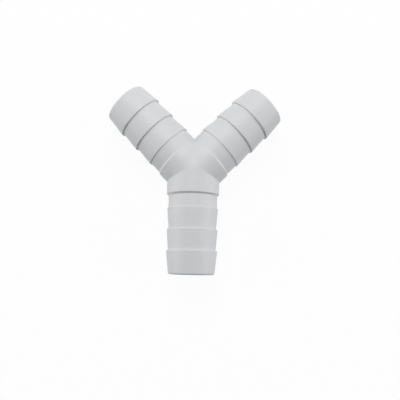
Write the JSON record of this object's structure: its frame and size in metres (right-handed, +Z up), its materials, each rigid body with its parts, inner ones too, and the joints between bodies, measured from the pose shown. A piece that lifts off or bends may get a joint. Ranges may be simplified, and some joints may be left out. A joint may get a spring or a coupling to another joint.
{
  "type": "tubing y connector",
  "caption": "Moulded plastic Y piece that joins or splits flexible hoses, with a barbed tail on each leg and an open passage through all of them.",
  "frame": {"origin": "the point where the axes of the three tails meet, in the middle of the body", "axes": "-Y out along the stem, +Z up as the part lies flat, square to the plane of the three axes, with the arms leaning from +Y to -X and +X"},
  "size_m": [0.0916, 0.0991, 0.0274],
  "materials": {
    "moulded_plastic": "light cool grey, satin, as moulded"
  },
  "bodies": {
    "root": {"y_connector": "moulded_plastic"}
  },
  "joints": []
}
